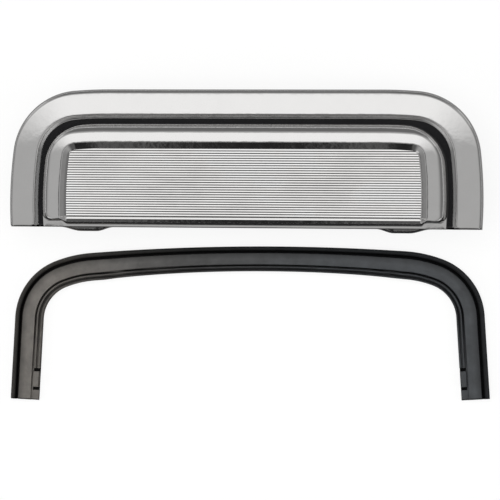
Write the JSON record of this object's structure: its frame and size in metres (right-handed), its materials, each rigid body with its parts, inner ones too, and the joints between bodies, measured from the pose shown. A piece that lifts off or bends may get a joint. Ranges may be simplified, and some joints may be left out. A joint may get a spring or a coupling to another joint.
{
  "type": "third brake light",
  "caption": "Arch-shaped third brake light: low chromed outer bezel, raised lens bezel with a fluted lens, light box behind on studs, and a loose rubber body seal.",
  "frame": {"origin": "midpoint between the two side studs, on the plane that the lamp seats on", "axes": "+Z out of the lens, +Y toward the crown of the arch, +X along the lamp's width; the studs point to -Z"},
  "size_m": [0.3389, 0.2183, 0.051],
  "materials": {
    "bright_chrome": "bright plated die casting",
    "metallised_lens": "fluted moulding with a bright metallised coat",
    "gasket_rubber": "matt moulded rubber",
    "seal_rubber": "satin extruded and moulded rubber",
    "black_plastic": "fine moulded texture",
    "bright_reflector": "metallised moulding",
    "board_laminate": "green solder mask",
    "led_package": "moulded package with a yellow window",
    "component_black": "moulded packages",
    "terminal_plastic": "moulded terminal",
    "plated_steel": "bright zinc plate",
    "vent_plastic": "moulded plug"
  },
  "bodies": {
    "lamp": {"outer_bezel": "bright_chrome", "inner_bezel": "bright_chrome", "fluted_lens": "metallised_lens", "lens_seal": "gasket_rubber", "light_box": "black_plastic", "reflector": "bright_reflector", "led_board": "board_laminate", "leds": "led_package", "resistors": "component_black", "regulator": "component_black", "diode": "component_black", "terminal_block": "terminal_plastic", "board_screws": "plated_steel", "back_cover": "black_plastic", "cover_seal": "gasket_rubber", "cover_screws": "plated_steel", "box_screws": "plated_steel", "bezel_screws": "plated_steel", "cable_grommet": "gasket_rubber", "breather_plug": "vent_plastic", "mounting_studs": "plated_steel"},
    "seal": {"body_seal": "seal_rubber"}
  },
  "joints": [
    {"name": "seal_lift", "type": "slide", "parent": "lamp", "child": "seal", "axis": [0, 0, 1], "range_m": [0, 0.08]}
  ]
}
